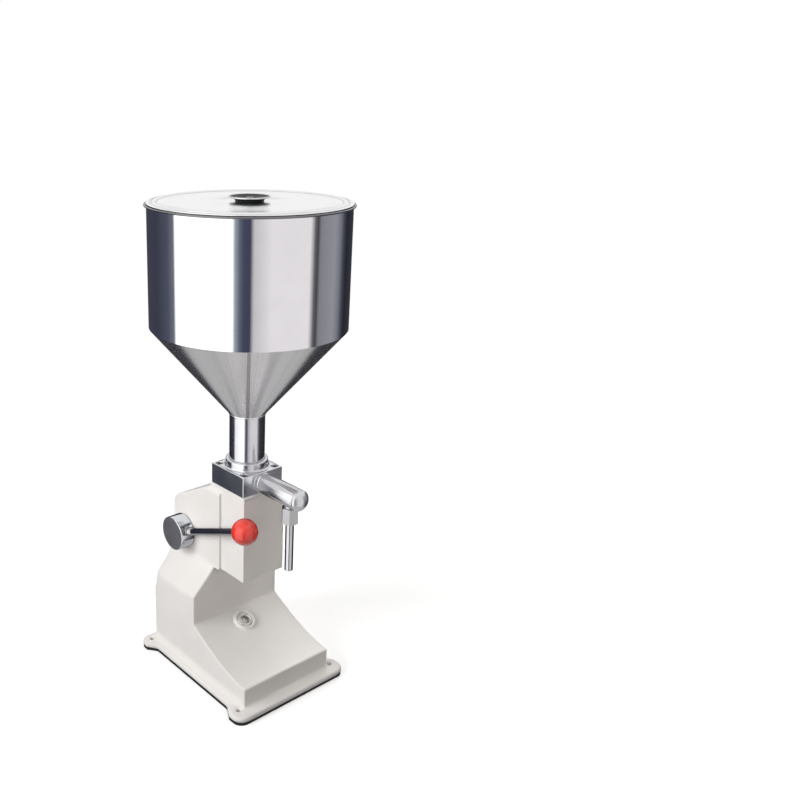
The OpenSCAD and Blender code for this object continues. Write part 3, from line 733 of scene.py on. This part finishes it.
def make_lid():
    """The spun lid: a shallow dish, a raised bead, a hemmed edge and a skirt inside the rim."""
    base = high("hopper_bowl").z + LID_GAP
    top = base + SHEET
    dish = top - 0.25 * MM
    edge = radius("hopper_lid")
    hem = SHEET / 2
    bead_r = edge - 10 * MM
    skirt = radius("hopper_cone") - SHEET - 1.9 * MM
    skirt_foot = low("hopper_lid").z
    bend = 1 * MM
    outline = [(LID_HOLE, top), (44 * MM, top), (46 * MM, dish), (edge - 27 * MM, dish)]
    outline += [(edge - 24 * MM, top), (bead_r - 3.2 * MM, top)]
    outline += arc(bead_r, top - 0.6 * MM, LID_BEAD, 158, 22, 14)
    outline += [(bead_r + 3.2 * MM, top)]
    outline += arc(edge - hem, base + hem, hem, 90, -90, 8)
    outline += [(skirt + bend, base), (skirt, base - bend), (skirt, skirt_foot)]
    outline += [(skirt - SHEET, skirt_foot), (skirt - SHEET, base - bend)]
    outline += [(skirt - SHEET - bend, base), (LID_HOLE, base)]
    add_piece("lid_plate", lathe("lid_plate", outline, FINE), "lid_steel", "lid", ["hopper_lid"])


def make_knob():
    """A low spool knob with a dished top and a chrome lip."""
    base = low("lid_knob").z
    top = high("lid_knob").z
    lip = radius("lid_knob")
    foot = lip - 9 * MM
    dish = base + KNOB_DISH
    waist = lip - foot - 1 * MM
    outline = [(LID_HOLE, base), (foot - 1 * MM, base), (foot - 0.4 * MM, base + 0.4 * MM)]
    for i in range(13):
        a = math.radians(6.5 * i)
        outline.append((lip - 1 * MM - waist * math.cos(a), base + 1 * MM + 4.6 * MM * math.sin(a)))
    outline.append((lip - 1.4 * MM, top - 1.6 * MM))
    bowl_r = lip - 8.4 * MM
    bowl_rise = top - 0.5 * MM - dish
    for i in range(9, -1, -1):
        outline.append((6 * MM + bowl_r * i / 9, dish + bowl_rise * (i / 9) ** 2))
    outline.append((LID_HOLE, dish))
    add_piece("knob", lathe("knob", outline), "knob_chrome", "lid", ["lid_knob"], finish="knob_dark")
    bead = 1.1 * MM
    ring = arc(lip - bead, top - bead, bead, 0, 345, 23)
    add_piece("knob_lip", lathe("knob_lip", ring), "knob_chrome", "lid")


def make_lid_screw():
    """The socket screw through the knob and the lid."""
    foot = low("lid_screw").z
    top = high("lid_screw").z
    head = radius("lid_screw")
    shank = 3 * MM
    under = low("lid_knob").z + KNOB_DISH + 0.1 * MM
    turned = [(0, foot), (shank - 0.4 * MM, foot), (shank, foot + 0.4 * MM), (shank, under)]
    turned += [(head, under), (head, top - 0.7 * MM)]
    turned += [(head - 0.2 * MM, top - 0.2 * MM), (head - 0.7 * MM, top)]
    mesh = socket_head("lid_cap_screw", turned, 2.3 * MM, top, 2 * MM)
    add_piece("lid_cap_screw", mesh, "screw_steel", "lid", ["lid_screw"])


# ---- block ----

def make_block():
    """The valve block's broken edges, and its four socket screws."""
    soften("valve_block", 0.8 * MM, 3)
    foot = low("block_screws").z
    top = high("block_screws").z
    shank = 2.95 * MM
    head = 5 * MM
    under = top - 5.9 * MM
    pitch = high("block_screws").x - head
    turned = [(0, foot), (shank - 0.45 * MM, foot), (shank, foot + 0.5 * MM), (shank, under)]
    turned += [(head, under), (head, top - 0.9 * MM)]
    turned += [(head - 0.2 * MM, top - 0.3 * MM), (head - 0.8 * MM, top)]
    for i, (x, y) in enumerate(((-1, -1), (1, -1), (-1, 1), (1, 1))):
        name = "block_screw_%d" % (i + 1)
        mesh = socket_head(name, turned, 2.9 * MM, top, 3 * MM)
        replaced = ["block_screws"] if i == 0 else []
        place = stand((x * pitch, y * pitch, 0))
        add_piece(name, mesh, "screw_steel", "machine", replaced, place)


# ---- lever ----

def hub_radius():
    return side_radius("handle_hub")


def lever_place():
    """A placement on the shaft's axis whose own +Z runs out along the lever's rod."""
    slope = math.radians(LEVER_ANGLE)
    hub = middle("handle_hub")
    along = (0, -math.cos(slope), math.sin(slope))
    return stand((middle("handle_rod").x, hub.y, hub.z), along)


def make_hub():
    """The chrome hub, with a satin disc let into its outer face. The disc's darker colour is painted shade.
    """
    hub = middle("handle_hub")
    r = hub_radius()
    length = high("handle_hub").x - low("handle_hub").x
    edge = 1.2 * MM
    recess = length - 0.2 * MM
    outline = fillet([(0, 0), (r, 0, edge), (r, length, edge), (0, length)], 6)
    outline = outline[:-1] + [(r - edge - 0.2 * MM, recess), (0, recess)]
    root = stand((high("handle_hub").x, hub.y, hub.z), (-1, 0, 0))
    add_piece("hub", lathe("hub", outline, 160), "hub_chrome", "lever", ["handle_hub"], root)
    disc = r - edge - 0.25 * MM
    face = [(0, length - 1 * MM), (disc, length - 1 * MM), (disc, length - 0.1 * MM)]
    face += [(disc - 0.1 * MM, length), (0, length)]
    mesh = lathe("shaded_hub_face", face, 160)
    # The disc's finish is darker than the hub's chrome: painted shade on the outer face.
    add_piece("shaded_hub_face", mesh, "hub_chrome", "lever", place=root, finish="shaded_hub_face")


def make_rod():
    """The lever's rod, with the end of its thread showing, and its lock nut with a washer face."""
    hub_r = hub_radius()
    start = hub_r - 8 * MM
    end = LEVER_LENGTH - 6 * MM
    thread = hub_r + 7.8 * MM
    threads = 9
    pitch = 1.0 * MM
    outline = [(0, start), (ROD, start), (ROD, thread)]
    for i in range(threads):
        z = thread + i * pitch
        outline += [(ROD, z), (ROD - 0.35 * MM, z + pitch * 0.5)]
    outline += [(ROD, thread + threads * pitch), (ROD, end), (0, end)]
    add_piece("rod", lathe("rod", outline, 48), "rod_chrome", "lever", ["handle_rod"], lever_place())

    bore = ROD + 0.02 * MM
    mesh = nut("lock_nut", 8.6 * MM, bore, hub_r + 0.2 * MM, hub_r + NUT_HEIGHT, 30)
    add_piece("lock_nut", mesh, "hub_chrome", "lever", ["rod_lock_nut"], lever_place(), finish="rod_chrome")
    foot = hub_r + NUT_HEIGHT - 0.2 * MM
    washer = 7 * MM
    face = [(bore, foot), (washer, foot), (washer, foot + 1.2 * MM)]
    face += [(washer - 0.3 * MM, foot + 1.5 * MM), (bore, foot + 1.5 * MM)]
    mesh = lathe("lock_nut_face", face, HEX_STEPS)
    add_piece("lock_nut_face", mesh, "hub_chrome", "lever", place=lever_place(), finish="rod_chrome")


def make_ball():
    """The red ball grip, with the flat neck where the rod goes in."""
    neck = 7.5 * MM
    root = LEVER_LENGTH - BALL - 0.5 * MM
    meet = math.degrees(math.asin(neck / BALL))
    outline = [(0, root), (neck - 0.6 * MM, root), (neck, root + 0.6 * MM)]
    outline += arc(0, LEVER_LENGTH, BALL, -90 + meet + 1, 89, 48)
    outline += [(0, LEVER_LENGTH + BALL)]
    ball = add_piece("ball", lathe("ball", outline, 96), "grip_red", "lever", ["handle_ball"], lever_place())
    ball.visible_glossy = False


def make_shaft_end():
    """The collar on the far end of the lever's shaft."""
    collar = middle("end_collar")
    r = side_radius("end_collar")
    length = high("end_collar").x - low("end_collar").x
    bore = 10.02 * MM
    edge = 1.0 * MM
    lead = 0.4 * MM
    outline = fillet([(bore, 0, lead), (r, 0, edge), (r, length, edge), (bore, length, lead)])
    place = stand((low("end_collar").x, collar.y, collar.z), (1, 0, 0))
    mesh = lathe("shaft_collar", outline, 96)
    add_piece("shaft_collar", mesh, "collar_steel", "lever", ["end_collar"], place)


# ---- discharge ----

def make_tube_end():
    """The discharge tube's broken edges, and its domed end cap."""
    soften("discharge_tube", 0.4 * MM)
    front = low("discharge_tube").y
    axis_z = high("discharge_tube").z - TUBE
    dome = (TUBE * TUBE + CAP_RISE * CAP_RISE) / (2 * CAP_RISE)
    half = math.degrees(math.asin(TUBE / dome))
    centre = 2.5 * MM + CAP_RISE - dome
    plug = 8.9 * MM
    edge = 0.3 * MM
    outline = [(0, -6 * MM), (plug, -6 * MM), (plug, 0), (TUBE - edge, 0), (TUBE, edge)]
    outline += arc(0, centre, dome, 90 - half, 90, 20)[:-1]
    outline += [(0, centre + dome)]
    place = stand((middle("discharge_tube").x, front, axis_z), (0, -1, 0))
    add_piece("end_dome", lathe("end_dome", outline, 96), "cap_satin", "machine", ["end_cap"], place)


def make_nozzle():
    """The nozzle's union nut, and the nozzle that it holds by its shoulder."""
    nozzle = middle("nozzle_nut")
    foot = low("nozzle_nut").z
    on_nozzle = stand((nozzle.x, nozzle.y, 0))
    mesh = nut("spout_nut", 12.6 * MM, 9.02 * MM, foot, high("nozzle_nut").z, NUT_TURN)
    add_piece("spout_nut", mesh, "tube_steel", "machine", ["nozzle_nut"], on_nozzle, finish="nut_steel")

    tip = low("nozzle_tube").z
    shoulder = foot + 10 * MM
    flange = shoulder + 3 * MM
    flange_r = 8.6 * MM
    outer = 6 * MM
    bore = 4.5 * MM
    edge = 0.6 * MM
    pipe = [(bore, tip + edge), (bore + 0.5 * MM, tip)]
    pipe += arc(outer - edge, tip + edge, edge, -90, 0, 5)
    pipe += [(outer, foot - edge), (outer + 1 * MM, foot), (outer + 1 * MM, shoulder)]
    pipe += [(flange_r, shoulder), (flange_r, flange), (bore, flange)]
    mesh = lathe("spout", pipe, HEX_STEPS)
    add_piece("spout", mesh, "tube_steel", "machine", ["nozzle_tube"], on_nozzle, finish="spout_steel")


def make_spring():
    """The coil spring behind the outlet ball, on a mesh of its own."""
    front = low("outlet_spring").y
    length = high("outlet_spring").y - front
    centre = middle("outlet_spring")
    coil_r = radius("outlet_spring") - SPRING_WIRE
    closed = 2.1 * SPRING_WIRE
    pitch = (length - 2 * SPRING_WIRE - 2 * closed) / (SPRING_TURNS - 2)
    steps = 24
    rings = []
    for i in range(SPRING_TURNS * steps + 1):
        turn = i / steps
        ends = min(turn, 1) + max(turn - SPRING_TURNS + 1, 0)
        along = front + SPRING_WIRE + closed * ends + pitch * (turn - ends)
        a = 2 * math.pi * turn
        out = Vector((math.cos(a), 0, math.sin(a)))
        spot = Vector((centre.x, along, centre.z)) + out * coil_r
        rings.append([spot + out * x + Vector((0, y, 0)) for x, y in arc(0, 0, SPRING_WIRE, 0, 324, 9)])
    tips = [[sum(ring, Vector()) / len(ring)] for ring in (rings[0], rings[-1])]
    mesh = loft("coil_spring", tips[:1] + rings + tips[1:], False)
    spring = add_piece("coil_spring", mesh, SLOT_OF["outlet_spring"], "machine", ["outlet_spring"], sharp=60)
    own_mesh(spring)


# ---- stroke stop ----

def make_stop():
    """The knurled knob of the stroke stop, at the back."""
    knob = middle("adjust_knob")
    front = low("adjust_knob").y
    depth = high("adjust_knob").y - front
    wide = depth - 9 * MM
    r = side_radius("adjust_knob")
    neck = 10 * MM
    bore = 4.05 * MM
    steps = 12 * KNURLS
    chamfer = 0.9 * MM
    wave = [math.cos(KNURLS * 2 * math.pi * i / steps) for i in range(steps)]
    grip = [r - 0.7 * MM * (0.5 + 0.5 * w) ** 2 for w in wave]
    less = [g - chamfer for g in grip]
    face = 9 * MM
    dish = 0.4 * MM
    outline = [(bore, 0), (neck - 0.3 * MM, 0), (neck, 0.3 * MM), (neck, wide)]
    outline += [(less, wide), (grip, wide + chamfer), (grip, depth - chamfer), (less, depth)]
    outline += [(face, depth), (face - 0.6 * MM, depth - dish)]
    rings = [rim(reach, z, steps) for reach, z in outline] + [[(0, 0, depth - dish)]]
    mesh = loft("knurled_knob", rings, False)
    place = stand((knob.x, front, knob.z), (0, 1, 0))
    add_piece("knurled_knob", mesh, "dark_steel", "stop_knob", ["adjust_knob"], place)


make_casting()
make_plug()
make_hopper()
make_cone_seam()
make_collar()
make_lid()
make_knob()
make_lid_screw()
make_block()
make_hub()
make_rod()
make_ball()
make_shaft_end()
make_tube_end()
make_nozzle()
make_spring()
make_stop()


# ---- stage, light and camera ----

CAMERA_AT = Vector((-0.7658, -0.9254, 0.8488))
CAMERA_AZIMUTH = math.radians(37.54)
CAMERA_DOWN = math.radians(17.0)
CAMERA_LENS = 40.7
CAMERA_SHIFT = (0.2292, -0.0459)


def make_camera():
    data = bpy.data.cameras.new("camera")
    data.sensor_width = 36
    data.lens = CAMERA_LENS
    data.shift_x, data.shift_y = CAMERA_SHIFT
    camera = bpy.data.objects.new("camera", data)
    bpy.context.scene.collection.objects.link(camera)
    back = Vector((
        -math.sin(CAMERA_AZIMUTH) * math.cos(CAMERA_DOWN),
        -math.cos(CAMERA_AZIMUTH) * math.cos(CAMERA_DOWN),
        math.sin(CAMERA_DOWN),
    ))
    camera.location = CAMERA_AT
    camera.rotation_mode = "QUATERNION"
    camera.rotation_quaternion = (-back).to_track_quat("-Z", "Y")
    bpy.context.scene.camera = camera


def emission(name, colour, strength):
    material = bpy.data.materials.new(name)
    material.use_nodes = True
    nodes, links = material.node_tree.nodes, material.node_tree.links
    nodes.clear()
    shine = nodes.new("ShaderNodeEmission")
    shine.inputs["Color"].default_value = (*colour, 1)
    shine.inputs["Strength"].default_value = strength
    out = nodes.new("ShaderNodeOutputMaterial")
    links.new(shine.outputs[0], out.inputs["Surface"])
    return material


def staged(name, mesh, material, camera=False, glossy=True):
    """Adds a piece of the stage. It lights only what mirrors it, and casts no shadow."""
    obj = bpy.data.objects.new(name, mesh)
    bpy.context.scene.collection.objects.link(obj)
    mesh.materials.append(material)
    obj.visible_camera = camera
    obj.visible_diffuse = False
    obj.visible_glossy = glossy
    obj.visible_shadow = False
    obj.visible_transmission = glossy


# A ring of soft boxes and dark screens stands round the object, and only polished metal sees it.
# Each stop is (angle, head, colour, foot). The angle turns from the camera's side to the right. A
# card between two stops reaches up to the higher head. Foot is how bright the card is below
# RING_DEEP, against its colour above RING_TRUE. Colours change evenly from one stop to the next.
RING_R = 1.8
RING_FOOT = -1.5
RING_DEEP = -0.14
RING_TRUE = -0.04
RING_STEP = 3       # degrees between the ring's uprights, about
FADE = 0.16         # a card's head fades into the white surroundings over this height
TALL = 2.4
MID = 0.9
LOW = 0.64
NAVY = (0.050, 0.052, 0.082)
GREY_NAVY = (0.060, 0.062, 0.075)
WHITE = (1.75, 1.75, 1.75)
PINK = (0.93, 0.895, 0.90)
GROUND_GREY = 0.52
PATCH_GREY = 0.70
PATCH_R = 0.42
PATCH_RISE = 0.05   # above the ground
STOPS = [
    (-180, LOW, GREY_NAVY, 0.5),
    (-120, LOW, NAVY, 0.5),
    (-98, LOW, (0.085, 0.095, 0.135), 0.5),
    (-88, LOW, (0.19, 0.20, 0.24), 0.3),
    (-84, TALL, WHITE, 0.7),
    (-18, TALL, WHITE, 1.0),
    (-14.5, MID, (0.40, 0.44, 0.48), 0.8),
    (-9.5, MID, (0.13, 0.15, 0.20), 0.8),
    (-5, MID, (0.062, 0.075, 0.118), 1.0),
    (1.5, MID, (0.062, 0.062, 0.11), 1.6),
    (5.5, TALL, (0.66, 0.64, 0.65), 0.9),
    (24, TALL, PINK, 1.0),
    (67, TALL, PINK, 1.0),
    (73, MID, (0.16, 0.15, 0.16), 1.2),
    (77, MID, (0.065, 0.065, 0.072), 3.8),
    (81, MID, (0.25, 0.25, 0.28), 0.5),
    (86, MID, (0.28, 0.28, 0.315), 0.16),
    (104, MID, (0.33, 0.33, 0.37), 0.10),
    (114, MID, (0.21, 0.22, 0.26), 0.12),
    (122, LOW, (0.065, 0.07, 0.095), 0.3),
    (130, LOW, (0.022, 0.023, 0.032), 0.8),
    (180, LOW, GREY_NAVY, 0.5),
]


def ring_columns():
    """Each upright of the ring: the heights and colours of its points, from its foot to its head."""
    facing = math.degrees(math.atan2(CAMERA_AT.y, CAMERA_AT.x))
    columns = []
    for start, end in zip(STOPS, STOPS[1:]):
        head = max(start[1], end[1])
        count = max(1, round((end[0] - start[0]) / RING_STEP))
        for i in range(count + 1):
            t = i / count
            a = math.radians(facing + start[0] + (end[0] - start[0]) * t)
            tone = Vector(start[2]).lerp(Vector(end[2]), t)
            deep = tone * (start[3] + (end[3] - start[3]) * t)
            shades = [(RING_FOOT, deep), (RING_DEEP, deep), (RING_TRUE, tone), (head, tone)]
            shades.append((head + FADE, Vector((1, 1, 1))))
            columns.append([((RING_R * math.cos(a), RING_R * math.sin(a), z), shade) for z, shade in shades])
    return columns


def make_ring():
    columns = ring_columns()
    rows = len(columns[0])
    faces = []
    for i in range(len(columns) - 1):
        for k in range(rows * i, rows * (i + 1) - 1):
            faces.append((k, k + rows, k + rows + 1, k + 1))
    points = [point for column in columns for point in column]
    mesh = bpy.data.meshes.new("ring")
    mesh.from_pydata([place for place, _ in points], [], faces)
    layer = mesh.color_attributes.new("shine", "FLOAT_COLOR", "POINT")
    for spot, (_, shade) in zip(layer.data, points):
        spot.color = (*shade, 1)
    material = emission("ring", (1, 1, 1), 1.0)
    tree = material.node_tree
    shine = tree.nodes.new("ShaderNodeAttribute")
    shine.attribute_name = "shine"
    shader = next(n for n in tree.nodes if n.type == "EMISSION")
    tree.links.new(shine.outputs["Color"], shader.inputs["Color"])
    staged("ring", mesh, material)


def make_dome():
    """The white surroundings that the camera and polished metal see."""
    sphere = [(0, -14.5)] + arc(0, -0.5, 14, -85, 85, 34) + [(0, 13.5)]
    mesh = lathe("surroundings", sphere, 64)
    staged("surroundings", mesh, emission("surroundings", (1, 1, 1), 1.0), camera=True)


def make_ground():
    """What polished metal sees when it faces down: a grey ground with a paler patch in its middle."""
    patch_z = RING_FOOT + PATCH_RISE
    mesh = lathe("ground", [(0, RING_FOOT), (RING_R, RING_FOOT)], 48)
    staged("ground", mesh, emission("ground", (1.0, 1.0, 1.02), GROUND_GREY))
    mesh = lathe("ground_patch", [(0, patch_z), (PATCH_R, patch_z)], 48)
    staged("ground_patch", mesh, emission("ground_patch", (1.0, 0.98, 0.98), PATCH_GREY))


FLOOR_R = 1.0
FLOOR_WHOLE = 0.30  # the floor is whole out to here, and gone beyond FLOOR_GONE
FLOOR_GONE = 0.95
SPOT_SIZE = 0.3


def make_floor():
    """A pale round floor that fades into the surroundings."""
    mesh = lathe("floor", [(0, 0), (FLOOR_R / 2, 0), (FLOOR_R, 0)], 96)
    material = bpy.data.materials.new("floor")
    material.use_nodes = True
    nodes, links = material.node_tree.nodes, material.node_tree.links
    shader = nodes["Principled BSDF"]
    shader.inputs["Base Color"].default_value = (0.90, 0.90, 0.90, 1)
    shader.inputs["Emission Color"].default_value = (1, 1, 1, 1)
    shader.inputs["Emission Strength"].default_value = 0.36
    shader.inputs["Roughness"].default_value = 0.6
    shader.inputs["Specular IOR Level"].default_value = 0.2
    coords = nodes.new("ShaderNodeTexCoord")
    reach = nodes.new("ShaderNodeVectorMath")
    reach.operation = "LENGTH"
    links.new(coords.outputs["Object"], reach.inputs[0])
    fade = nodes.new("ShaderNodeMapRange")
    fade.interpolation_type = "SMOOTHSTEP"
    fade.inputs["From Min"].default_value = FLOOR_WHOLE
    fade.inputs["From Max"].default_value = FLOOR_GONE
    links.new(reach.outputs["Value"], fade.inputs["Value"])
    clear = nodes.new("ShaderNodeBsdfTransparent")
    mix = nodes.new("ShaderNodeMixShader")
    links.new(fade.outputs["Result"], mix.inputs["Fac"])
    links.new(shader.outputs[0], mix.inputs[1])
    links.new(clear.outputs[0], mix.inputs[2])
    links.new(mix.outputs[0], nodes["Material Output"].inputs["Surface"])
    staged("floor", mesh, material, camera=True, glossy=False)


def place_light(data, at, target, colour):
    """Aims a light. Polished metal doesn't see the lights, only the cards."""
    data.color = colour
    light = bpy.data.objects.new(data.name, data)
    bpy.context.scene.collection.objects.link(light)
    light.location = at
    light.rotation_mode = "QUATERNION"
    light.rotation_quaternion = (Vector(target) - Vector(at)).to_track_quat("-Z", "Y")
    light.visible_glossy = False


def make_area(name, at, target, size, power, colour=(1, 1, 1)):
    data = bpy.data.lights.new(name, "AREA")
    data.shape = "DISK"
    data.size = size
    data.energy = power
    place_light(data, at, target, colour)


def make_spot(name, at, target, power, angle, colour):
    data = bpy.data.lights.new(name, "SPOT")
    data.shadow_soft_size = SPOT_SIZE
    data.energy = power
    data.spot_size = math.radians(angle)
    data.spot_blend = 1.0
    place_light(data, at, target, colour)


def make_lights():
    world = bpy.data.worlds.new("room")
    world.use_nodes = True
    background = world.node_tree.nodes["Background"]
    background.inputs["Color"].default_value = (1.0, 0.985, 0.965, 1)
    background.inputs["Strength"].default_value = 0.18
    bpy.context.scene.world = world
    make_area("key", (-2.4, 0.45, 1.4), (0, 0, 0.2), 1.8, 60)
    make_spot("side", (-2.2, -0.3, 0.62), (0, 0, 0.30), 90, 13, (1.0, 0.99, 0.98))
    make_area("top", (0.4, -0.8, 2.1), (0, 0, 0.1), 1.2, 9.5, (1.0, 0.98, 0.96))
    make_spot("front", (1.30, -1.30, 0.46), (0, 0, 0.27), 102, 15, (1.0, 0.95, 0.89))
    make_area("fill", (1.7, 1.7, 1.1), (0, 0, 0.3), 1.6, 34)


make_camera()
make_dome()
make_ring()
make_ground()
make_floor()
make_lights()
bpy.context.scene.view_settings.view_transform = "Standard"
